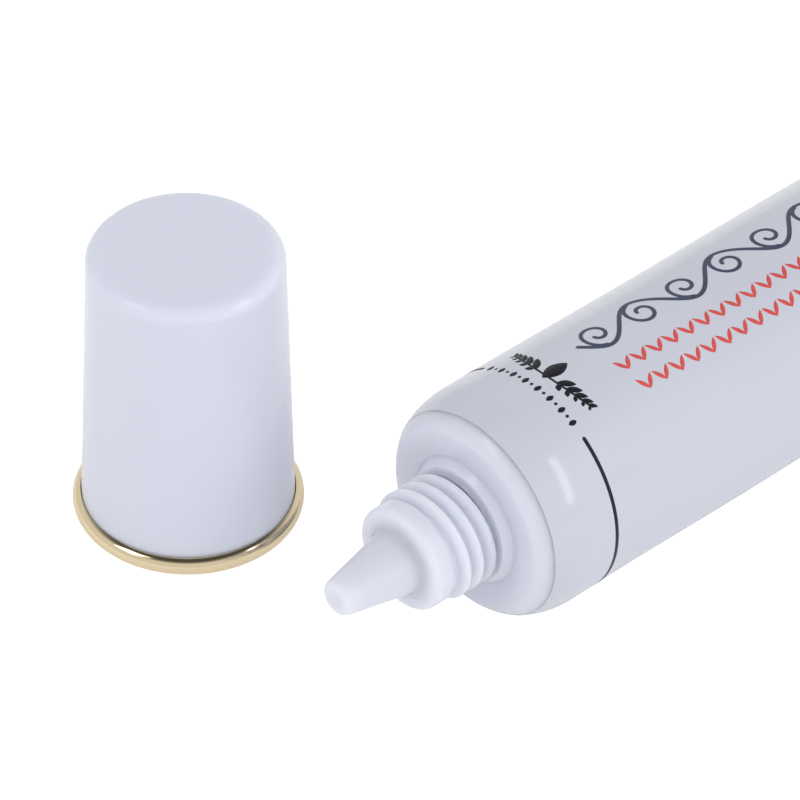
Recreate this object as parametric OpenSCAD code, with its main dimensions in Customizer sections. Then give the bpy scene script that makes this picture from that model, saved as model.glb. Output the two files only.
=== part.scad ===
/* [Tube] */
// Diameter of the filled tube where it is round
tube_d = 22; // [19:0.5:28]
// Length of the sleeve, from the shoulder's face to the end of the seal
sleeve_len = 98; // [70:1:130]
// Thickness of the sleeve's wall
sleeve_wall = 0.5; // [0.35:0.05:0.7]
// Length of the round stretch behind the shoulder's face
round_len = 8; // [7:0.5:20]
// How far the full tube's top settles behind that stretch, as it lies
settle = 0.8; // [0:0.1:1.2]
// Length of the welded seal at the tail
seal_len = 6; // [3:0.5:10]
// Thickness of the welded seal
seal_t = 0.9; // [0.6:0.1:1.4]
// Height of the seal's middle above the surface that the tube lies on
seal_z = 6.5; // [2:0.5:9]

/* [Shoulder] */
// Length of the rounded corner, along the tube
corner_len = 5; // [3.5:0.25:6.5]
// Width of the rounded corner, across the tube
corner_w = 2.5; // [2:0.25:3.5]
// Where the sleeve's end lies on the corner, in degrees round it from the face
mouth_angle = 41; // [25:1:50]
// Depth of the head's skirt inside the sleeve
skirt_len = 6.8; // [6.6:0.1:8]
// Thickness of the head's skirt and shoulder
head_wall = 1.2; // [0.8:0.1:1.5]

/* [Neck] */
// Diameter of the flange at the neck's foot
flange_d = 12; // [11.6:0.1:13]
// Thickness of the flange
flange_t = 0.85; // [0.5:0.05:1.2]
// Outer diameter of the neck's thread
thread_d = 11; // [10.4:0.1:11.4]
// Diameter of the neck under the thread
core_d = 9.6; // [9:0.1:10]
// Distance from one turn of the thread to the next
pitch = 1.5; // [1.2:0.05:1.8]
// Number of turns of the thread
thread_turns = 4.2; // [3:0.1:4.4]
// Length of the neck, from the shoulder's face to its front edge
neck_len = 8.1; // [7.6:0.1:9]
// Radius of the neck's front edge
neck_edge_r = 0.8; // [0.4:0.1:1.2]
// Diameter of the channel through the neck
channel_d = 6.8; // [5.5:0.1:7]

/* [Nozzle] */
// Length of the nozzle in front of the neck
nozzle_len = 7.55; // [5:0.05:10]
// Diameter of the nozzle's foot
nozzle_foot_d = 6.3; // [5.6:0.1:7]
// Diameter of the nozzle's tip, before its edge is rounded
nozzle_tip_d = 3.3; // [2.8:0.1:4]
// Radius of the rounding at the nozzle's foot
nozzle_foot_r = 0.5; // [0.2:0.1:0.8]
// Radius of the tip's rounded edge
nozzle_tip_r = 0.6; // [0.3:0.1:0.9]
// Thickness of the closed tip
tip_wall = 1.2; // [0.8:0.1:1.8]
// Diameter of the channel just behind the closed tip
tip_channel_d = 1.4; // [1:0.1:1.6]

/* [Cap] */
// Height of the cap as it stands, band included
cap_h = 29.7; // [28:0.1:36]
// Diameter of the cap at its foot, above the band
cap_foot_d = 19.7; // [19:0.1:21]
// Diameter that the cap's taper reaches at its top
cap_top_d = 17.75; // [16:0.05:19]
// Radius of the cap's rounded top edge
cap_edge_r = 1.2; // [0.6:0.1:2]
// Thickness of the cap's outer wall
cap_wall = 1.2; // [0.8:0.1:1.6]
// Thickness of the cap's top
cap_top_t = 1.8; // [1.2:0.1:2.5]
// Thickness of the threaded collar inside the cap
collar_wall = 1; // [0.8:0.1:1.4]
// Height of the collar's mouth above the cap's foot
collar_lift = 1.3; // [1:0.1:2]
// Diameter of the upper bore, which covers the nozzle
cap_bore_d = 7.8; // [7.2:0.1:8.4]
// Play between the neck's thread and the cap's, on each side
thread_play = 0.2; // [0.15:0.05:0.3]
// Number of turns of the thread inside the cap
cap_turns = 2.5; // [2:0.1:3]
// Place of the cap's middle along the tube, from the shoulder's face towards the nozzle
cap_ahead = 8.6; // [-10:0.1:30]
// Place of the cap's middle to the side of the tube's axis
cap_aside = 27.45; // [26:0.05:40]

/* [Gold band] */
// Outer diameter of the band
band_d = 21.25; // [21:0.05:23]
// Height of the band
band_h = 1.95; // [1.4:0.05:2.6]
// Thickness of the band's lip under the cap's foot
band_lip_t = 0.5; // [0.3:0.05:0.8]

/* [Hidden] */

// Clearance between pieces that are seated in one another
fit = 0.06;
// Gap that shows between the sleeve's end and the shoulder, in degrees round the corner
mouth_gap = 1.5;
// Sides round the sleeve, and degrees from one section of a thread to the next
sleeve_sides = 64;
thread_step = 12;
$fn = 96;

tube_r = tube_d / 2;
seal_w = PI * tube_r;
thread_h = (thread_d - core_d) / 2;
// How deep a thread's ridge is rooted in its wall, and its width there and at its crest
thread_sink = 0.25;
thread_foot_w = pitch * 0.95;
thread_crest_w = pitch * 0.22;
tip_x = neck_len + nozzle_len;
cap_foot_r = cap_foot_d / 2;
cap_top_r = cap_top_d / 2;
band_r = band_d / 2;
collar_bore_r = thread_d / 2 + thread_play;
// The cap's collar stops on the neck's front edge when the band lies on the shoulder
collar_step_z = neck_len + fit;
// Angle round the neck at which the thread's last full turn faces up and to the side
thread_phase = 50;
// Height of the neck's last full turn above the shoulder's face, at that angle
thread_top = 5.2;
// Where the flattening stretch begins and how long it is, from the shoulder's face
flat_len = sleeve_len - seal_len - round_len;
settle_len = 24;
// The stretch over which the underside leaves the surface and climbs to the seal
lift_from = 0.61 * sleeve_len;
lift_len = sleeve_len - seal_len - lift_from;
// The origin is at the middle of the whole part's box, on the surface that it lies on
front_x = -max(tip_x, cap_ahead + band_r);
origin_shift = [-(sleeve_len + front_x) / 2, -(cap_aside + band_r - seal_w / 2) / 2, 0];

function reversed(list) = [for (i = [len(list) - 1:-1:0]) list[i]];

// Rises from 0 to 1 with level ends
function ease(t) = t <= 0 ? 0 : t >= 1 ? 1 : t * t * (3 - 2 * t);

// Point [radius, station] on the shoulder's rounded corner, an ellipse set in by inset.
// Stations run along the tube's axis from the shoulder's face, towards the nozzle.
function corner_at(angle, inset) = [
    tube_r - corner_w + (corner_w - inset) * sin(angle),
    -corner_len + (corner_len - inset) * cos(angle)
];

// The head's hollow, set in by clearance: skirt, shoulder, channel and closed tip
function hollow(clearance) = [
    [tube_r - sleeve_wall - fit - head_wall - clearance, -skirt_len],
    [tube_r - sleeve_wall - fit - head_wall - clearance, -corner_len],
    [tube_r - corner_w - clearance, -head_wall - corner_w / 3 - clearance],
    [channel_d / 2 + 1 - clearance, -head_wall - clearance],
    [channel_d / 2 - clearance, -clearance],
    [channel_d / 2 - clearance, neck_len - 2 * neck_edge_r],
    [nozzle_foot_d / 2 - head_wall - clearance, neck_len + nozzle_foot_r],
    [tip_channel_d / 2 - clearance, tip_x - tip_wall - clearance]
];

// Height of the sleeve's upper side at distance d behind the shoulder's face: level where the tube is
// round, then settling a little, and falling ever faster to the seal
function upper_side(d) =
    let (t = min(1, max(0, (d - round_len) / flat_len)))
    tube_d - settle * ease((d - round_len) / settle_len)
    - (tube_d - settle - seal_z - seal_t / 2) * pow(t, 5.5);

// Height of its underside, which lies flat and then climbs to the seal
function under_side(d) =
    let (t = min(1, max(0, (d - lift_from) / lift_len)))
    (seal_z - seal_t / 2) * pow(t, 1.8);

// Half width that keeps the sleeve's girth as its half height h shrinks
function half_width(h) = tube_r * (PI / 2 - (PI / 2 - 1) * pow(h / tube_r, 1.65));

// Section of the sleeve's solid, [distance, half width, half height, middle, squareness]
function round_section(p) = [-p[1], p[0], p[0], tube_r, 1];
function tail_section(d) =
    let (
        h = (upper_side(d) - under_side(d)) / 2,
        s = ease((d - sleeve_len + seal_len + 1.5) / 1.5)
    )
    [d, half_width(h), h, under_side(d) + h, 1 - 0.65 * s];

// Points of one section, each [x, y, z]
function section_points(s) = [
    for (i = [0:sleeve_sides - 1])
        let (a = 360 * i / sleeve_sides, up = sin(a))
        [s[0], s[1] * cos(a), s[3] + s[2] * sign(up) * pow(abs(up), s[4])]
];

// Solid through a list of rings of points, closed by a flat face at each end
module ringed_solid(rings) {
    n = len(rings[0]);
    last = (len(rings) - 1) * n;
    sides = [
        for (j = [0:len(rings) - 2])
            for (i = [0:n - 1])
                let (k = (i + 1) % n)
                each [[j * n + i, j * n + k, (j + 1) * n + k], [j * n + i, (j + 1) * n + k, (j + 1) * n + i]]
    ];
    first_face = [for (i = [n - 1:-1:0]) i];
    last_face = [for (i = [0:n - 1]) last + i];
    polyhedron(points = [for (r = rings) each r], faces = concat([first_face], sides, [last_face]), convexity = 8);
}

// Stands a turned piece on the tube's axis, with its stations running towards the nozzle
module on_tube_axis() {
    translate(origin_shift + [0, 0, tube_r]) rotate([0, -90, 0]) children();
}

// Helical ridge round Z, with flanks that lean back from its crest. It grows out of a surface of radius
// foot_r, from height z0 and angle a0. Its crest stands crest_h further out, or further in if that is
// negative, and sinks back below the surface over each fade, in degrees.
module thread_ridge(foot_r, crest_h, z0, a0, turns, fade_in, fade_out) {
    side = sign(crest_h);
    steps = ceil(turns * 360 / thread_step);
    root = foot_r - side * thread_sink;
    rings = [
        for (i = [0:steps])
            let (
                turned = turns * 360 * i / steps,
                a = a0 + turned,
                z = z0 + pitch * turned / 360,
                full = ease(turned / fade_in) * ease((turns * 360 - turned) / fade_out),
                crest = root + side * (0.05 + (abs(crest_h) + thread_sink - 0.05) * full)
            )
            [
                for (p = [[root, -thread_foot_w / 2], [crest, -thread_crest_w / 2],
                          [crest, thread_crest_w / 2], [root, thread_foot_w / 2]])
                    [p[0] * cos(a), p[0] * sin(a), z + p[1]]
            ]
    ];
    ringed_solid(crest_h > 0 ? rings : [for (r = rings) reversed(r)]);
}

// The welded sleeve with what fills it, as one solid: it wraps the head's corner and fills its hollow
module filled_sleeve() {
    inside = reversed(hollow(fit));
    seat = [
        [inside[len(inside) - 1][0], -skirt_len - fit],
        [tube_r - sleeve_wall, -skirt_len - fit],
        [tube_r - sleeve_wall, -corner_len]
    ];
    wrap_in = [for (a = [80:-9:mouth_angle]) corner_at(a, sleeve_wall)];
    wrap_out = [for (a = [mouth_angle:9:90]) corner_at(a, 0)];
    front = concat([for (i = [0:len(inside) - 2]) inside[i]], seat, wrap_in, wrap_out);
    body_steps = 26;
    body_step = flat_len / body_steps;
    tail = concat(
        [for (i = [0:body_steps - 1]) round_len + i * body_step],
        [sleeve_len - seal_len - 1.5, sleeve_len - seal_len, sleeve_len]
    );
    sections = concat([for (p = front) round_section(p)], [for (d = tail) tail_section(d)]);
    color("white") translate(origin_shift) ringed_solid([for (s = sections) section_points(s)]);
}

// Outer outline of the head, [radius, station], from the skirt to the tip
function head_outline() =
    let (
        skirt_r = tube_r - sleeve_wall - fit,
        core_r = core_d / 2,
        flange_r = flange_d / 2,
        foot_r = nozzle_foot_d / 2,
        tip_r = nozzle_tip_d / 2,
        step_at = mouth_angle - mouth_gap
    )
    concat(
        [[skirt_r, -skirt_len], [skirt_r, -corner_len]],
        [for (a = [80:-9:step_at]) corner_at(a, sleeve_wall + fit)],
        [corner_at(step_at, sleeve_wall + fit)],
        [for (i = [0:6]) corner_at(step_at * (1 - i / 6), 0.05)],
        [[flange_r + 0.35, -0.05], [flange_r, 0.2], [flange_r - 0.1, flange_t - 0.15]],
        [[flange_r - 0.25, flange_t], [core_r + 0.2, flange_t], [core_r, flange_t + 0.2]],
        [for (a = [0:15:90]) [core_r - neck_edge_r * (1 - cos(a)), neck_len - neck_edge_r * (1 - sin(a))]],
        [for (a = [0:22.5:90]) [foot_r + nozzle_foot_r * (1 - sin(a)), neck_len + nozzle_foot_r * (1 - cos(a))]],
        [for (a = [0:15:90]) [tip_r - nozzle_tip_r * (1 - cos(a)), tip_x - nozzle_tip_r * (1 - sin(a))]],
        [[0, tip_x]]
    );

// Shoulder, threaded neck and closed nozzle, moulded as one piece
module nozzle_head() {
    inner = hollow(0);
    turned = concat(head_outline(), [[0, inner[len(inner) - 1][1]]], reversed(inner));
    below = thread_turns - 1;
    color("ghostwhite") on_tube_axis() union() {
        rotate_extrude() polygon(turned);
        thread_ridge(core_d / 2, thread_h, thread_top - pitch * below, thread_phase - 360 * below,
            thread_turns + 0.2, 50, 170);
    }
}

// Stands a turned piece where the cap stands
module at_cap() {
    translate(origin_shift + [-cap_ahead, cap_aside, 0]) children();
}

// Tapered cap with a threaded collar inside, moulded as one piece, open below
module cap() {
    foot_z = band_lip_t;
    mouth_z = foot_z + collar_lift;
    under_top = cap_h - cap_top_t;
    slope = (cap_foot_r - cap_top_r) / cap_h;
    outer = concat(
        [[cap_foot_r, foot_z]],
        [for (a = [0:15:90])
            [cap_top_r - cap_edge_r * (1 - cos(a)) + slope * cap_edge_r * (1 - sin(a)),
             cap_h - cap_edge_r * (1 - sin(a))]],
        [[0, cap_h]]
    );
    collar_r = collar_bore_r + collar_wall;
    upper_r = cap_bore_d / 2;
    inner = [
        [0, under_top], [upper_r, under_top], [upper_r, collar_step_z], [collar_bore_r, collar_step_z],
        [collar_bore_r, mouth_z + 0.4], [collar_bore_r + 0.4, mouth_z], [collar_r, mouth_z],
        [collar_r, collar_step_z + collar_wall], [upper_r + collar_wall, collar_step_z + 2 * collar_wall],
        [upper_r + collar_wall, under_top], [cap_top_r - cap_wall, under_top], [cap_foot_r - cap_wall, foot_z]
    ];
    color("white") at_cap() union() {
        rotate_extrude() polygon(concat(outer, inner));
        thread_ridge(collar_bore_r, -thread_h, mouth_z + 1.1, 0, cap_turns, 60, 60);
    }
}

// Bright plated band round the cap's foot: a rounded bead with a lip under the cap's edge
module gold_band() {
    bead_r = band_h / 2;
    mid_r = band_r - bead_r;
    seat_r = cap_foot_r + 0.03;
    lip_r = cap_foot_r - cap_wall;
    outline = concat(
        [for (a = [-90:10:70]) [mid_r + bead_r * cos(a), bead_r + bead_r * sin(a)]],
        [[seat_r, band_h - 0.03], [seat_r, band_lip_t], [lip_r, band_lip_t], [lip_r, 0.15], [lip_r + 0.15, 0]]
    );
    color("goldenrod") at_cap() rotate_extrude() polygon(outline);
}

filled_sleeve();
nozzle_head();
cap();
gold_band();
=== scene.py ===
"""Looks of a lip scrub tube: a filled plastic tube that lies on its side, and beside it the cap, standing on
its gold band.

Lengths and points are in millimetres until a mesh is made. Places along the tube are "stations", counted from
the shoulder's face towards the nozzle, or distances d behind that face, towards the welded tail. The angle
round the tube starts at its +Y side and passes over the top.
"""
import math

import bpy
import numpy as np
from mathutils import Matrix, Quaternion, Vector


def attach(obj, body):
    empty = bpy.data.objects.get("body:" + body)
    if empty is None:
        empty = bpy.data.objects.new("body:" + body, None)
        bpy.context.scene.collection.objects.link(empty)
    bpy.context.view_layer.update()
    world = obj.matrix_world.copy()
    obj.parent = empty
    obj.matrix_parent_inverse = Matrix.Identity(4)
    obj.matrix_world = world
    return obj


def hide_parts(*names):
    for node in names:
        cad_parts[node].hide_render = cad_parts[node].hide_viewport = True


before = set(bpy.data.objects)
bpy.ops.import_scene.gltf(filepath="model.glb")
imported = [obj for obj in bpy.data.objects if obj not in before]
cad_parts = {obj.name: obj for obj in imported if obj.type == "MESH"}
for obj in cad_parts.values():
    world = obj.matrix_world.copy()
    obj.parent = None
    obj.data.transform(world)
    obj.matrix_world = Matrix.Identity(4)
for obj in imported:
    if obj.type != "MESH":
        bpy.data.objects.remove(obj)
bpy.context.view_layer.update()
MM = 0.001

# Where the tube's axis meets the shoulder's face, and where the cap stands
FACE = np.array([-39.3875, -10.3981, 11.0])
CAP_PLACE = np.array([-47.9875, 17.0519, 0.0])

TUBE_R = 11.0
SLEEVE_LEN = 98.0
SLEEVE_WALL = 0.5
ROUND_LEN = 8.0
SETTLE = 0.8
SETTLE_LEN = 24.0
SEAL_LEN = 6.0
SEAL_T = 0.9
SEAL_Z = 6.5
RIB_PITCH = 1.0
LIFT_FROM = 59.78
CORNER_LEN = 5.0
CORNER_W = 2.5
MOUTH_ANGLE = 41.0
SKIRT_LEN = 6.8
HEAD_WALL = 1.2
FIT = 0.06

FLANGE_R = 6.0
FLANGE_T = 0.85
CORE_R = 4.8
THREAD_H = 0.7
PITCH = 1.5
THREAD_TURNS = 4.2
THREAD_TOP = 5.2
THREAD_PHASE = 50.0
NECK_LEN = 8.1
NECK_EDGE_R = 0.8
# The smooth land at the neck's front, between the thread and the edge
LAND_R = 5.05
LAND_LEN = 2.0
LAND_EDGE_R = 0.6
CHANNEL_R = 3.4
NOZZLE_LEN = 7.55
NOZZLE_FOOT_R = 3.15
NOZZLE_TIP_R = 1.65
TIP_WALL = 1.2
TIP_CHANNEL_R = 0.7

CAP_H = 29.7
CAP_FOOT_R = 9.85
CAP_TOP_R = 8.875
CAP_EDGE_R = 1.2
CAP_WALL = 1.2
CAP_TOP_T = 1.8
COLLAR_BORE_R = 5.7
COLLAR_WALL = 1.0
COLLAR_LIFT = 1.3
CAP_BORE_R = 3.9
CAP_TURNS = 2.5
BAND_R = 10.625
BAND_H = 1.95
BAND_LIP_T = 0.5

# Half the thread ridge's width at its crest and at its foot
CREST_HALF_W = 0.12
RIDGE_HALF_W = 0.75
# How far the thread's ends start below the neck's surface, as a share of its height
RIDGE_SUNK = 0.29

# How brightly the floor glows for the camera, and for what mirrors it
FLOOR_GLOW = 0.7
FLOOR_GLOW_IN_GLOSS = 0.15
# How bright the room is towards its walls and towards its ceiling, where it lights the object, and by how
# much the wall on the -Y side is brighter
WALL_LIGHT = 1.43
CEILING_LIGHT = 0.88
SIDE_LIGHT = 0.35
LAMP_DISTANCE = 600.0


def linear(hex_colour):
    """The linear RGBA of an sRGB colour written as a hex string."""
    srgb = np.array([int(hex_colour[i:i + 2], 16) for i in (1, 3, 5)]) / 255
    rgb = np.where(srgb <= 0.04045, srgb / 12.92, ((srgb + 0.055) / 1.055) ** 2.4)
    return (*rgb.tolist(), 1.0)


def ease(t):
    """Rises from 0 to 1 with level ends: 3t^2 - 2t^3."""
    t = np.clip(t, 0, 1)
    return t * t * (3 - 2 * t)


def add_camera():
    """A long lens from half a metre off. Its place and lens were fitted to the rims of the cap and to the
    outline of the tube."""
    aim = Vector((-23.89, 14.42, 0.0)) * MM
    place = Vector((-274.2, -246.0, 312.9)) * MM
    roll = math.radians(1.42)
    data = bpy.data.cameras.new("camera")
    data.lens = 228.5
    data.sensor_width = 36
    data.clip_end = 20
    camera = bpy.data.objects.new("camera", data)
    camera.location = place
    camera.rotation_mode = "QUATERNION"
    camera.rotation_quaternion = (aim - place).to_track_quat("-Z", "Y") @ Quaternion((0, 0, 1), roll)
    bpy.context.scene.collection.objects.link(camera)
    bpy.context.scene.camera = camera


def add_node(tree, kind, inputs=(), **settings):
    """Adds a node of that kind. settings are its properties. inputs maps its sockets to values, or to the
    sockets of other nodes, which it then links."""
    node = tree.nodes.new(kind)
    for name, value in settings.items():
        setattr(node, name, value)
    for socket, value in dict(inputs).items():
        if isinstance(value, bpy.types.NodeSocket):
            tree.links.new(value, node.inputs[socket])
        else:
            node.inputs[socket].default_value = value
    return node


def new_material(name):
    """An empty material, and its node tree."""
    material = bpy.data.materials.new(name)
    material.use_nodes = True
    material.node_tree.nodes.clear()
    return material, material.node_tree


def rays(tree):
    """Two masks from the kind of ray: 1 straight from the camera, and 1 for what a gloss or a clear body
    shows. Both are 0 for the rays that only light the object."""
    ray = add_node(tree, "ShaderNodeLightPath")
    mirrored = add_node(
        tree, "ShaderNodeMath", {0: ray.outputs["Is Glossy Ray"], 1: ray.outputs["Is Transmission Ray"]},
        operation="MAXIMUM")
    return ray.outputs["Is Camera Ray"], mirrored.outputs[0]


def add_floor():
    """A wide white sheet, a hair below the object. It glows for what looks at it, so that it stays white
    around the object, and only its shadow is darker."""
    material, tree = new_material("white_paper_floor")
    straight, mirrored = rays(tree)
    in_gloss = add_node(tree, "ShaderNodeMath", {0: mirrored, 1: FLOOR_GLOW_IN_GLOSS}, operation="MULTIPLY")
    glow = add_node(
        tree, "ShaderNodeMath", {0: straight, 1: FLOOR_GLOW, 2: in_gloss.outputs[0]},
        operation="MULTIPLY_ADD")
    paper = add_node(tree, "ShaderNodeBsdfDiffuse", {"Color": linear("#F8F8F8"), "Roughness": 0.5})
    white = add_node(tree, "ShaderNodeEmission", {"Strength": glow.outputs[0]})
    both = add_node(tree, "ShaderNodeAddShader", {0: paper.outputs[0], 1: white.outputs[0]})
    add_node(tree, "ShaderNodeOutputMaterial", {"Surface": both.outputs[0]})
    # In metres: half the sheet's side, and its height
    half, height = 2.5, -0.05 * MM
    mesh = bpy.data.meshes.new("floor")
    corners = [(-half, -half, height), (half, -half, height), (half, half, height), (-half, half, height)]
    mesh.from_pydata(corners, [], [(0, 1, 2, 3)])
    mesh.materials.append(material)
    floor = bpy.data.objects.new("floor", mesh)
    bpy.context.scene.collection.objects.link(floor)


def add_surroundings():
    """A pale room. It lights the object more from the walls than from above, and most from the -Y side. What
    mirrors it shows pale walls and a dark ceiling, which bright metal turns into a dark line."""
    world = bpy.data.worlds.new("pale_studio")
    world.use_nodes = True
    tree = world.node_tree
    tree.nodes.clear()
    towards = add_node(tree, "ShaderNodeTexCoord")
    parts = add_node(tree, "ShaderNodeSeparateXYZ", {0: towards.outputs["Generated"]})
    room = add_node(
        tree, "ShaderNodeMapRange",
        {"Value": parts.outputs["Z"], "From Min": 0.55, "From Max": 0.9, "To Min": 1.0, "To Max": 0.1},
        interpolation_type="SMOOTHSTEP")
    light = add_node(
        tree, "ShaderNodeMapRange",
        {"Value": parts.outputs["Z"], "To Min": WALL_LIGHT, "To Max": CEILING_LIGHT})
    lopsided = add_node(
        tree, "ShaderNodeMath", {0: parts.outputs["Y"], 1: -SIDE_LIGHT, 2: light.outputs[0]},
        operation="MULTIPLY_ADD")
    straight, mirrored = rays(tree)
    level = add_node(
        tree, "ShaderNodeMix", {"Factor": mirrored, "A": lopsided.outputs[0], "B": room.outputs[0]})
    seen = add_node(tree, "ShaderNodeMix", {"Factor": straight, "A": level.outputs[0], "B": 1.0})
    add_node(
        tree, "ShaderNodeOutputWorld",
        {"Surface": add_node(tree, "ShaderNodeBackground", {"Strength": seen.outputs[0]}).outputs[0]})
    bpy.context.scene.world = world


def add_softbox(name, azimuth, elevation, width, height, radiance, lean=0.0):
    """A rectangular lamp at LAMP_DISTANCE from the object, turned to it, with its height leaning by so many
    degrees. radiance is how white it looks in a mirror."""
    a, e = math.radians(azimuth), math.radians(elevation)
    outward = Vector((math.cos(a) * math.cos(e), math.sin(a) * math.cos(e), math.sin(e)))
    data = bpy.data.lights.new(name, "AREA")
    data.shape = "RECTANGLE"
    data.size = width * MM
    data.size_y = height * MM
    data.energy = radiance * math.pi * data.size * data.size_y
    lamp = bpy.data.objects.new(name, data)
    lamp.location = outward * LAMP_DISTANCE * MM + Vector((-31, 0, 10)) * MM
    lamp.rotation_mode = "QUATERNION"
    lamp.rotation_quaternion = outward.to_track_quat("Z", "Y") @ Quaternion((0, 0, 1), math.radians(lean))
    lamp.visible_camera = False
    bpy.context.scene.collection.objects.link(lamp)


def sleeve_plastic():
    """Extruded and varnished LDPE sleeve: cool white, glossy, with the long shallow waves of a soft wall, and
    fine ribs pressed across the weld at its tail."""
    material, tree = new_material("varnished_ldpe_sleeve")
    place = add_node(tree, "ShaderNodeTexCoord").outputs["Object"]
    # Waves about 18 mm long and some hundredths of a millimetre deep
    waves = add_node(
        tree, "ShaderNodeTexNoise", {"Vector": place, "Scale": 55.0, "Detail": 1.0, "Roughness": 0.4})
    wavy = add_node(
        tree, "ShaderNodeBump", {"Height": waves.outputs[0], "Distance": 0.08 * MM, "Strength": 0.5})
    # Ribs from the start of the weld to the tail's end. The wave node's bands repeat 20 times in 2 pi of its
    # scaled measure
    ribs = add_node(
        tree, "ShaderNodeTexWave",
        {"Vector": place, "Scale": 2 * math.pi / 20 / (RIB_PITCH * MM), "Distortion": 0.0},
        wave_type="BANDS", bands_direction="Y", wave_profile="SIN")
    along = add_node(tree, "ShaderNodeSeparateXYZ", {0: place})
    weld_x = (FACE[0] + SLEEVE_LEN - SEAL_LEN) * MM
    on_weld = add_node(
        tree, "ShaderNodeMapRange",
        {"Value": along.outputs["X"], "From Min": weld_x + 0.3 * MM, "From Max": weld_x + 0.7 * MM})
    pressed = add_node(
        tree, "ShaderNodeMath", {0: ribs.outputs["Fac"], 1: on_weld.outputs[0]}, operation="MULTIPLY")
    ribbed = add_node(
        tree, "ShaderNodeBump",
        {"Height": pressed.outputs[0], "Distance": 0.12 * MM, "Strength": 0.8, "Normal": wavy.outputs[0]})
    # Faint clouds 25 mm long in the white, where the filling shows through the wall
    clouds = add_node(tree, "ShaderNodeTexNoise", {"Vector": place, "Scale": 40.0, "Detail": 2.0})
    tone = add_node(
        tree, "ShaderNodeMix",
        {"Factor": clouds.outputs[0], "A": linear("#C3C6D2"), "B": linear("#C7CAD6")},
        data_type="RGBA")
    shader = add_node(
        tree, "ShaderNodeBsdfPrincipled",
        {"Base Color": tone.outputs["Result"], "Roughness": 0.14, "IOR": 1.51, "Normal": ribbed.outputs[0]})
    add_node(tree, "ShaderNodeOutputMaterial", {"Surface": shader.outputs[0]})
    return material


def head_plastic():
    """Injection-moulded LDPE head: the same white, but milky, so that light spreads under its skin, with the
    fine grain of its mould."""
    material, tree = new_material("moulded_ldpe_head")
    place = add_node(tree, "ShaderNodeTexCoord").outputs["Object"]
    # Grain about 1.1 mm wide and a hundredth of a millimetre deep, coarser than the real one so that it shows
    grain = add_node(tree, "ShaderNodeTexNoise", {"Vector": place, "Scale": 900.0, "Detail": 2.0})
    skin = add_node(
        tree, "ShaderNodeBump", {"Height": grain.outputs[0], "Distance": 0.01 * MM, "Strength": 0.3})
    shader = add_node(
        tree, "ShaderNodeBsdfPrincipled",
        {"Base Color": linear("#D6D9E6"), "Roughness": 0.15, "IOR": 1.51, "Subsurface Weight": 1.0,
         "Subsurface Radius": (1.0, 0.95, 0.9), "Subsurface Scale": 3.0 * MM, "Normal": skin.outputs[0]})
    add_node(tree, "ShaderNodeOutputMaterial", {"Surface": shader.outputs[0]})
    return material


def cap_plastic():
    """Injection-moulded polypropylene cap: cool white and glossy, slightly milky, with the fine grain of a
    polished mould."""
    material, tree = new_material("moulded_polypropylene_cap")
    place = add_node(tree, "ShaderNodeTexCoord").outputs["Object"]
    # Grain about 1.4 mm wide and a hundredth of a millimetre deep, coarser than the real one so that it shows
    grain = add_node(tree, "ShaderNodeTexNoise", {"Vector": place, "Scale": 700.0, "Detail": 2.0})
    skin = add_node(
        tree, "ShaderNodeBump", {"Height": grain.outputs[0], "Distance": 0.01 * MM, "Strength": 0.3})
    shader = add_node(
        tree, "ShaderNodeBsdfPrincipled",
        {"Base Color": linear("#D5D8E5"), "Roughness": 0.2, "IOR": 1.49, "Subsurface Weight": 0.8,
         "Subsurface Radius": (1.0, 0.95, 0.9), "Subsurface Scale": 1.5 * MM, "Normal": skin.outputs[0]})
    add_node(tree, "ShaderNodeOutputMaterial", {"Surface": shader.outputs[0]})
    return material


def gold_plating():
    """Vacuum-plated plastic with a pale gold lacquer: a clear mirror with hair-fine rub marks."""
    material, tree = new_material("pale_gold_plating")
    place = add_node(tree, "ShaderNodeTexCoord").outputs["Object"]
    # Rubbed patches about 1.7 mm wide
    rubs = add_node(tree, "ShaderNodeTexNoise", {"Vector": place, "Scale": 600.0, "Detail": 3.0})
    dull = add_node(
        tree, "ShaderNodeMapRange", {"Value": rubs.outputs[0], "To Min": 0.06, "To Max": 0.16})
    shader = add_node(
        tree, "ShaderNodeBsdfPrincipled",
        {"Base Color": linear("#E6D5B2"), "Metallic": 1.0, "Roughness": dull.outputs[0]})
    add_node(tree, "ShaderNodeOutputMaterial", {"Surface": shader.outputs[0]})
    return material


def printing_ink(name, dark, pale):
    """Screen-printed ink on the varnished sleeve: flat, a little uneven in its cover, and less glossy than
    the varnish."""
    material, tree = new_material(name)
    place = add_node(tree, "ShaderNodeTexCoord").outputs["Object"]
    # Uneven spots 0.4 mm wide
    cover = add_node(tree, "ShaderNodeTexNoise", {"Vector": place, "Scale": 2500.0, "Detail": 2.0})
    tone = add_node(
        tree, "ShaderNodeMix", {"Factor": cover.outputs[0], "A": linear(dark), "B": linear(pale)},
        data_type="RGBA")
    shader = add_node(
        tree, "ShaderNodeBsdfPrincipled",
        {"Base Color": tone.outputs["Result"], "Roughness": 0.4, "IOR": 1.3})
    add_node(tree, "ShaderNodeOutputMaterial", {"Surface": shader.outputs[0]})
    return material


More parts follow.
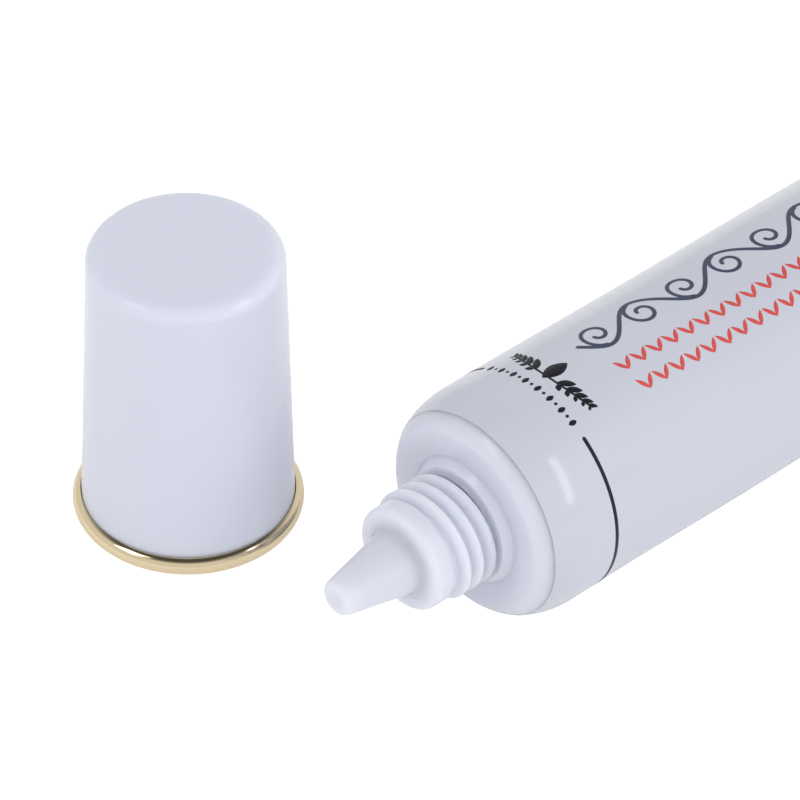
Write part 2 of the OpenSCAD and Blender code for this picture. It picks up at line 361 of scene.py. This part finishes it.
def soft_outline(points, soft, step):
    """A polyline with its corners rounded and its long stretches divided. Each corner P becomes a parabola
    that starts and ends up to soft from it, (1-t)^2 A + 2t(1-t) P + t^2 B. No stretch is longer than step."""
    p = np.asarray(points, float)
    before, corner, after = p[:-2], p[1:-1], p[2:]
    to_before = before - corner
    to_after = after - corner
    len_before = np.linalg.norm(to_before, axis=1, keepdims=True)
    len_after = np.linalg.norm(to_after, axis=1, keepdims=True)
    cut = np.minimum(soft, 0.45 * np.minimum(len_before, len_after))
    a = corner + to_before / len_before * cut
    b = corner + to_after / len_after * cut
    t = np.linspace(0, 1, 7)[None, :, None]
    arcs = (1 - t) ** 2 * a[:, None] + 2 * t * (1 - t) * corner[:, None] + t ** 2 * b[:, None]
    line = np.concatenate([p[:1], arcs.reshape(-1, 2), p[-1:]])
    travel = np.concatenate([[0], np.cumsum(np.linalg.norm(np.diff(line, axis=0), axis=1))])
    marks = np.unique(np.round(np.concatenate([travel, np.arange(0, travel[-1], step)]), 6))
    keep = np.concatenate([[True], np.diff(marks) > 1e-4])
    return np.stack([np.interp(marks[keep], travel, line[:, k]) for k in (0, 1)], axis=1)


def ridge(station, angle, start, phase, turns, fade_in, fade_out):
    """Height, 0 to 1, of a thread's rounded ridge at a station and an angle round it. The ridge's middle
    climbs one pitch a turn from start at angle phase. Its height falls from the crest to the foot as half a
    cosine wave, times how far its two ends have faded in from below the surface."""
    round_by = np.mod(angle - phase, 360)
    lap = np.round(((station - start) / PITCH * 360 - round_by) / 360)
    turned = round_by + 360 * np.clip(lap, 0, np.floor((turns * 360 - round_by) / 360))
    away = np.abs(station - start - PITCH * turned / 360)
    full = ease(turned / fade_in) * ease((turns * 360 - turned) / fade_out)
    across = np.clip((away - CREST_HALF_W) / (RIDGE_HALF_W - CREST_HALF_W), 0, 1)
    risen = np.maximum(0, (1 + RIDGE_SUNK) * full - RIDGE_SUNK)
    return risen * (0.5 + 0.5 * np.cos(np.pi * across))


def turned_rings(outline, sides, centre, axis, raised=None):
    """Rings of points round an axis: ring k has the radius and station of outline point k. raised, if given,
    is a function of station, radius and angle whose value is added to the radius. axis holds the directions
    up, side and along, and the angle turns from up to side."""
    angle = np.linspace(0, 360, sides, endpoint=False)[None, :]
    station = np.repeat(outline[:, 1:2], sides, axis=1)
    radius = np.repeat(outline[:, 0:1], sides, axis=1)
    if raised is not None:
        radius = radius + raised(station, radius, angle)
    up, side, along = (np.array(v, float) for v in axis)
    turn = np.radians(angle)[..., None]
    return (centre + station[..., None] * along
            + radius[..., None] * (np.cos(turn) * up + np.sin(turn) * side))


def add_shell(name, rings, material, looped=False):
    """Makes a closed mesh through rings of points, (rings, sides, 3). With looped, the last ring joins the
    first. Otherwise a fan to the middle of each end ring closes it."""
    rows, sides = rings.shape[:2]
    j = np.arange(sides)[None, :]
    k = (j + 1) % sides
    i = np.arange(rows if looped else rows - 1)[:, None]
    n = (i + 1) % rows
    quads = np.stack([i * sides + j, i * sides + k, n * sides + k, n * sides + j], axis=-1).reshape(-1, 4)
    points = rings.reshape(-1, 3)
    faces = quads.tolist()
    if not looped:
        middle = rows * sides
        last = (rows - 1) * sides
        points = np.concatenate([points, rings[:1].mean(axis=1), rings[-1:].mean(axis=1)])
        faces += np.stack([k[0], j[0], np.full(sides, middle)], axis=-1).tolist()
        faces += np.stack([last + j[0], last + k[0], np.full(sides, middle + 1)], axis=-1).tolist()
    return add_mesh(name, points, faces, material)


def add_mesh(name, points, faces, material):
    """Puts points in millimetres and faces into a smooth mesh in metres, on an object at the origin."""
    mesh = bpy.data.meshes.new(name)
    mesh.from_pydata(points * MM, [], faces)
    mesh.shade_smooth()
    mesh.set_sharp_from_angle(angle=math.radians(40))
    mesh.materials.append(material)
    piece = bpy.data.objects.new(name, mesh)
    bpy.context.scene.collection.objects.link(piece)
    return piece


def shoulder_corner(angle, inset):
    """Radius and station on the shoulder's rounded corner, an ellipse set in by inset, at angles round it."""
    a = np.radians(np.asarray(angle, float))
    return np.stack([TUBE_R - CORNER_W + (CORNER_W - inset) * np.sin(a),
                     -CORNER_LEN + (CORNER_LEN - inset) * np.cos(a)], axis=1)


def hollow(clearance):
    """The head's hollow, [radius, station], set in by clearance: skirt, shoulder, channel and closed tip."""
    skirt_r = TUBE_R - SLEEVE_WALL - FIT - HEAD_WALL - clearance
    return np.array([
        [skirt_r, -SKIRT_LEN],
        [skirt_r, -CORNER_LEN],
        [TUBE_R - CORNER_W - clearance, -HEAD_WALL - CORNER_W / 3 - clearance],
        [CHANNEL_R + 1 - clearance, -HEAD_WALL - clearance],
        [CHANNEL_R - clearance, -clearance],
        [CHANNEL_R - clearance, NECK_LEN - 2 * NECK_EDGE_R],
        [NOZZLE_FOOT_R - HEAD_WALL - clearance, NECK_LEN + 0.5],
        [TIP_CHANNEL_R - clearance, NECK_LEN + NOZZLE_LEN - TIP_WALL - clearance],
    ])


def sleeve_section(d):
    """Half width, half height, middle and squareness of the sleeve at distances d behind the shoulder's face.
    The top settles a little, then falls by the 5.5th power of the way to the weld, and the underside climbs
    by the 1.8th power over the last stretch. The half width keeps the sleeve's girth. Squareness sets in at
    the weld."""
    flat = np.clip((d - ROUND_LEN) / (SLEEVE_LEN - SEAL_LEN - ROUND_LEN), 0, 1)
    lift = np.clip((d - LIFT_FROM) / (SLEEVE_LEN - SEAL_LEN - LIFT_FROM), 0, 1)
    settled = 2 * TUBE_R - SETTLE * ease((d - ROUND_LEN) / SETTLE_LEN)
    top = settled - (2 * TUBE_R - SETTLE - SEAL_Z - SEAL_T / 2) * flat ** 5.5
    bottom = (SEAL_Z - SEAL_T / 2) * lift ** 1.8
    half_h = (top - bottom) / 2
    half_w = TUBE_R * (math.pi / 2 - (math.pi / 2 - 1) * (half_h / TUBE_R) ** 1.65)
    power = 1 - 0.65 * ease((d - SLEEVE_LEN + SEAL_LEN + 1.5) / 1.5)
    return half_w, half_h, bottom + half_h, power


def on_sleeve(d, angle, lift=0.0):
    """Points of the sleeve at distances d and angles round it, raised by lift: half_w cos a, half_h sin a
    with the sine's size to the power of the section's squareness."""
    half_w, half_h, middle, power = sleeve_section(d)
    a = np.radians(angle)
    height = np.sign(np.sin(a)) * np.abs(np.sin(a)) ** power
    return np.stack([FACE[0] + d + 0 * a, FACE[1] + (half_w + lift) * np.cos(a),
                     middle + (half_h + lift) * height], axis=-1)


def make_sleeve(material):
    """The welded sleeve and its filling as one closed solid: round rings inside the head's hollow, the wrap
    over the shoulder's corner, and the sections that flatten to the weld."""
    sides = 288
    inside = hollow(FIT)[::-1][:-1]
    wall_r = TUBE_R - SLEEVE_WALL
    seat = np.array([
        [TUBE_R - SLEEVE_WALL - 2 * FIT - HEAD_WALL, -SKIRT_LEN - FIT],
        [wall_r, -SKIRT_LEN - FIT],
        [wall_r, -CORNER_LEN],
    ])
    wrap_in = shoulder_corner(np.linspace(80, MOUTH_ANGLE, 9), SLEEVE_WALL)
    # The sleeve's end: flush with the shoulder, with a rounded edge and a hair of material pressed up
    # behind it. Each pair is an angle past the end, and how far the surface is set in there
    lip = np.concatenate([
        shoulder_corner([MOUTH_ANGLE + past], inset)
        for past, inset in ((0, 0.025), (0.5, -0.005), (1.1, -0.02), (1.9, -0.02), (2.8, -0.01))])
    wrap_out = shoulder_corner(np.linspace(MOUTH_ANGLE + 4, 90, 36), 0)
    front = np.concatenate([inside, seat, wrap_in, lip, wrap_out])
    up_axis = ((0, 1, 0), (0, 0, 1), (-1, 0, 0))
    round_rings = turned_rings(front, sides, FACE, up_axis)
    weld = SLEEVE_LEN - SEAL_LEN
    d = np.concatenate([
        np.linspace(CORNER_LEN, ROUND_LEN, 5)[1:], np.linspace(ROUND_LEN, weld - 1.5, 130)[1:],
        np.linspace(weld - 1.5, weld, 14)[1:], np.linspace(weld, SLEEVE_LEN - 0.15, 14)[1:],
    ])
    angle = np.linspace(0, 360, sides, endpoint=False)
    tail_rings = on_sleeve(d[:, None], angle[None, :])
    end = on_sleeve(np.full((1, 1), SLEEVE_LEN), angle[None, :], lift=-0.12)
    rings = np.concatenate([round_rings, tail_rings, end])
    return add_shell("sleeve", rings, material)


def make_head(material):
    """Shoulder, flange, threaded neck and closed nozzle, turned round the tube's axis. The thread is raised
    on the neck and runs out behind the smooth land at its front."""
    # The shoulder's surface runs on a hair under the sleeve's end
    step_at = MOUTH_ANGLE + 0.5
    skirt_r = TUBE_R - SLEEVE_WALL - FIT
    tip_x = NECK_LEN + NOZZLE_LEN
    shoulder = np.concatenate([
        [[skirt_r, -SKIRT_LEN], [skirt_r, -CORNER_LEN]],
        shoulder_corner(np.linspace(80, step_at, 9), SLEEVE_WALL + FIT),
        shoulder_corner([step_at], 0.04),
        shoulder_corner(np.linspace(step_at - 0.3, 0, 24), 0.0),
    ])
    flange = soft_outline([
        shoulder[-1], [FLANGE_R + 0.3, -0.02], [FLANGE_R + 0.2, 0.2], [FLANGE_R - 0.28, FLANGE_T],
        [CORE_R + 0.25, FLANGE_T], [CORE_R, FLANGE_T + 0.25], [CORE_R, FLANGE_T + 0.6],
    ], 0.12, 0.4)[1:-1]
    land_z = NECK_LEN - LAND_LEN
    neck = np.stack([np.full(110, CORE_R), np.linspace(FLANGE_T + 0.3, land_z - 0.1, 110)], axis=1)
    land = soft_outline([
        neck[-1], [CORE_R, land_z], [LAND_R, land_z], [LAND_R, NECK_LEN - LAND_EDGE_R],
    ], 0.06, 0.3)[1:]
    quarter = np.radians(np.linspace(0, 90, 12))
    edge = np.stack([LAND_R - LAND_EDGE_R * (1 - np.cos(quarter)),
                     NECK_LEN - LAND_EDGE_R * (1 - np.sin(quarter))], axis=1)
    nozzle = soft_outline([
        edge[-1], [NOZZLE_FOOT_R, NECK_LEN], [NOZZLE_TIP_R, tip_x], [0.02, tip_x],
    ], 0.6, 0.5)[1:]
    inner = soft_outline(hollow(0), 0.3, 1.5)
    outline = np.concatenate([shoulder, flange, neck, land, edge[1:], nozzle])
    closed = np.concatenate([inner[::-1], outline])
    start = THREAD_TOP - PITCH * (THREAD_TURNS - 1)
    phase = THREAD_PHASE - 360 * (THREAD_TURNS - 1)

    def raised(station, radius, angle):
        on_neck = (np.abs(radius - CORE_R) < 0.01) * ease((station - FLANGE_T) / 0.3)
        return on_neck * THREAD_H * ridge(station, angle, start, phase, THREAD_TURNS - 0.4, 50, 150)

    rings = turned_rings(closed, 256, FACE, ((0, 0, 1), (0, 1, 0), (-1, 0, 0)), raised)
    return add_shell("nozzle_and_shoulder", rings, material)


def make_cap(material):
    """Tapered cap, turned round its own axis: from the middle of its inner top down the bore and the threaded
    collar, round the foot, up the outer wall and over the rounded edge to the middle of its top."""
    foot_z = BAND_LIP_T
    mouth_z = foot_z + COLLAR_LIFT
    under_top = CAP_H - CAP_TOP_T
    step_z = NECK_LEN + FIT
    collar_r = COLLAR_BORE_R + COLLAR_WALL
    slope = (CAP_FOOT_R - CAP_TOP_R) / CAP_H
    bore = soft_outline([
        [0.02, under_top], [CAP_BORE_R, under_top], [CAP_BORE_R, step_z], [COLLAR_BORE_R, step_z],
        [COLLAR_BORE_R, step_z - 0.1],
    ], 0.3, 1.2)[:-1]
    thread = np.stack([np.full(90, COLLAR_BORE_R), np.linspace(step_z - 0.1, mouth_z + 0.4, 90)], axis=1)
    space = soft_outline([
        [COLLAR_BORE_R, mouth_z + 0.4], [COLLAR_BORE_R + 0.4, mouth_z], [collar_r, mouth_z],
        [collar_r, step_z + COLLAR_WALL], [CAP_BORE_R + COLLAR_WALL, step_z + 2 * COLLAR_WALL],
        [CAP_BORE_R + COLLAR_WALL, under_top], [CAP_TOP_R - CAP_WALL, under_top],
        [CAP_FOOT_R - CAP_WALL, foot_z], [CAP_FOOT_R, foot_z], [CAP_FOOT_R - slope, foot_z + 1],
    ], 0.15, 1.2)[1:-1]
    quarter = np.radians(np.linspace(0, 90, 15))
    rim = np.stack([
        CAP_TOP_R - CAP_EDGE_R * (1 - np.cos(quarter)) + slope * CAP_EDGE_R * (1 - np.sin(quarter)),
        CAP_H - CAP_EDGE_R * (1 - np.sin(quarter))], axis=1)
    wall = soft_outline([
        [CAP_FOOT_R - slope, foot_z + 1], [CAP_FOOT_R - 14 * slope, 14], rim[0],
    ], 0.1, 1.0)[:-1]
    top = np.stack([np.linspace(rim[-1, 0], 0.02, 9)[1:], np.full(8, CAP_H)], axis=1)
    outline = np.concatenate([bore, thread, space, wall, rim, top])

    def raised(station, radius, angle):
        in_collar = (np.abs(radius - COLLAR_BORE_R) < 0.01) * (station < step_z - 0.05)
        return -THREAD_H * in_collar * ridge(station, angle, mouth_z + 1.1, 0, CAP_TURNS, 60, 60)

    rings = turned_rings(outline, 256, CAP_PLACE, ((1, 0, 0), (0, 1, 0), (0, 0, 1)), raised)
    return add_shell("cap_shell", rings, material)


def make_band(material):
    """Plated band round the cap's foot: a rounded bead with a lip under the cap's edge."""
    bead_r = BAND_H / 2
    mid_r = BAND_R - bead_r
    seat_r = CAP_FOOT_R + 0.03
    lip_r = CAP_FOOT_R - CAP_WALL
    a = np.radians(np.linspace(-90, 76, 44))
    bead = np.stack([mid_r + bead_r * np.cos(a), bead_r + bead_r * np.sin(a)], axis=1)
    inner = soft_outline([
        bead[-1], [seat_r, BAND_H - 0.04], [seat_r, BAND_LIP_T], [lip_r, BAND_LIP_T], [lip_r, 0], bead[0],
    ], 0.05, 0.5)[1:-1]
    rings = turned_rings(np.concatenate([bead, inner]), 320, CAP_PLACE, ((1, 0, 0), (0, 1, 0), (0, 0, 1)))
    return add_shell("plated_band", rings, material, looped=True)


# The print lies on the sleeve in two measures: e, millimetres round the sleeve from the middle of the printed
# side, and d, the distance behind the shoulder's face.
PRINT_MIDDLE = 88.0
DEGREES_PER_MM = math.degrees(1 / TUBE_R)
INK_LIFT = 0.02
INK_THICKNESS = 0.03


def stroke(path, half_width, across=7):
    """Grid of points (n, across, 2) of a stroke: the path's points moved sideways by shares of half_width."""
    way = np.gradient(path, axis=0)
    way /= np.linalg.norm(way, axis=1, keepdims=True)
    sideways = np.stack([-way[:, 1], way[:, 0]], axis=1)
    share = np.linspace(-1, 1, across)[None, :, None]
    return path[:, None] + sideways[:, None] * share * half_width[:, None, None]


def petal(e, d, length, width, lean):
    """A lens-shaped leaf with its foot at (e, d), leaning by so many degrees from the e direction. Its half
    width is a sine arch to the power 0.8."""
    t = np.linspace(0, 1, 9)
    a = math.radians(lean)
    path = np.stack([e + length * t * math.cos(a), d + length * t * math.sin(a)], axis=1)
    return stroke(path, 0.01 + width / 2 * np.sin(np.pi * t) ** 0.8, across=4)


def line(path, width):
    """A drawn line of even width with rounded ends: the half width is a circle's arc near each end."""
    travel = np.concatenate([[0], np.cumsum(np.linalg.norm(np.diff(path, axis=0), axis=1))])
    to_end = np.minimum(travel, travel[-1] - travel)
    near = np.clip(to_end / (width / 2), 0, 1)
    return stroke(path, 0.01 + width / 2 * np.sqrt(1 - (1 - near) ** 2))


def add_print(name, grids, material):
    """One mesh of printed shapes: each grid of (e, d) points is laid on the sleeve, just proud of it, and a
    Solidify modifier closes it below, inside the sleeve's wall."""
    points, faces, count = [], [], 0
    for grid in grids:
        n, m = grid.shape[:2]
        angle = PRINT_MIDDLE + grid[..., 0] * DEGREES_PER_MM
        points.append(on_sleeve(grid[..., 1], angle, lift=INK_LIFT).reshape(-1, 3))
        i = np.arange(n - 1)[:, None] * m
        j = np.arange(m - 1)[None, :]
        quads = np.stack([i + j, i + m + j, i + m + j + 1, i + j + 1], axis=-1).reshape(-1, 4)
        faces += (quads + count).tolist()
        count += n * m
    sheet = add_mesh(name, np.concatenate(points), faces, material)
    ink = sheet.modifiers.new("ink_thickness", "SOLIDIFY")
    ink.thickness = INK_THICKNESS * MM
    ink.offset = -1
    return sheet


def ring_line():
    """A thin line round the sleeve behind the shoulder, open on the printed side."""
    e = (np.linspace(124, 415, 400) - PRINT_MIDDLE) / DEGREES_PER_MM
    return [line(np.stack([e, np.full(400, 8.0)], axis=1), 0.35)]


def bead_row():
    """Small leaves and dots by turns, in the ring line's gap."""
    e = np.linspace(-5.4, 5.4, 15)
    return ([petal(x, 7.55, 0.9, 0.5, 90) for x in e[::2]]
            + [petal(x - 0.16, 8.0, 0.32, 0.34, 0) for x in e[1::2]])


def leaf_emblem():
    """A drop over a low stem, with pairs of leaves that shorten to both sides."""
    x = np.linspace(-5.2, 5.2, 60)
    stem = line(np.stack([x, 9.75 + 0.035 * x ** 2], axis=1), 0.2)
    side = np.array([1.3, 2.3, 3.2, 4.0, 4.7])
    size = np.array([1.75, 1.55, 1.3, 1.1, 0.9])
    leaves = []
    for s, k in zip(side, size):
        foot = 9.75 + 0.035 * s ** 2
        leaves += [petal(s, foot, k, k * 0.42, 48), petal(-s, foot, k, k * 0.42, 132)]
        leaves += [petal(s + 0.2, foot, k * 0.5, k * 0.3, -40), petal(-s - 0.2, foot, k * 0.5, k * 0.3, 220)]
    return [stem, petal(0, 9.3, 3.1, 1.5, 90)] + leaves


def running_scroll():
    """A thin wave along the sleeve with a spiral curled into each of its bends. The spiral's radius shrinks
    evenly while it makes one turn and a quarter."""
    start, end = 14.6, 47.6
    middle, swing, wave = -1.2, 1.8, 11.0
    d = np.linspace(start, end, 360)
    shapes = [line(np.stack([middle + swing * np.sin(2 * np.pi * (d - start) / wave), d], axis=1), 0.4)]
    t = np.linspace(0, 1, 50)
    for k in range(int((end - start) / wave * 2 + 0.5)):
        side = 1 if k % 2 == 0 else -1
        centre_d = start + wave * (0.25 + 0.5 * k)
        turn = np.pi / 2 + 2 * np.pi * 1.25 * t
        radius = 1.8 * (1 - 0.78 * t)
        e = middle - side * 0.15 + side * radius * np.sin(turn)
        shapes.append(line(np.stack([e, centre_d + radius * np.cos(turn)], axis=1), 0.36))
    return shapes


def leaf_rows():
    """Two rows of small leaves, 1 mm apart, each leaning the other way than the one before it."""
    shapes = []
    for row_e, first in ((3.1, 15.9), (5.6, 16.4)):
        for k in range(31):
            lean, shift = (35, -0.25) if k % 2 == 0 else (-35, 0.5)
            shapes.append(petal(row_e - 0.7, first + k + shift, 1.6, 0.4, lean))
    return shapes


add_camera()
add_floor()
add_surroundings()
add_softbox("strip_light_right", -65, 34, 105, 440, 3.2, lean=-18.7)
add_softbox("softbox_left", 161.5, 46, 200, 250, 2.5)

sleeve = make_sleeve(sleeve_plastic())
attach(sleeve, "tube")
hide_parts("filled_sleeve")

head = make_head(head_plastic())
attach(head, "tube")
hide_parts("nozzle_head")

cap = make_cap(cap_plastic())
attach(cap, "cap")
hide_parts("cap")

band = make_band(gold_plating())
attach(band, "cap")
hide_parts("gold_band")

black_ink = printing_ink("black_screen_ink", "#16171F", "#1E202A")
slate_ink = printing_ink("slate_screen_ink", "#3C4459", "#474F66")
red_ink = printing_ink("red_screen_ink", "#CD4A45", "#D75650")
for print_name, shapes, ink in (
        ("ring_line", ring_line(), black_ink),
        ("bead_row", bead_row(), black_ink),
        ("leaf_emblem", leaf_emblem(), black_ink),
        ("running_scroll", running_scroll(), slate_ink),
        ("leaf_rows", leaf_rows(), red_ink)):
    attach(add_print(print_name, shapes, ink), "tube")

bpy.context.scene.view_settings.view_transform = "Standard"
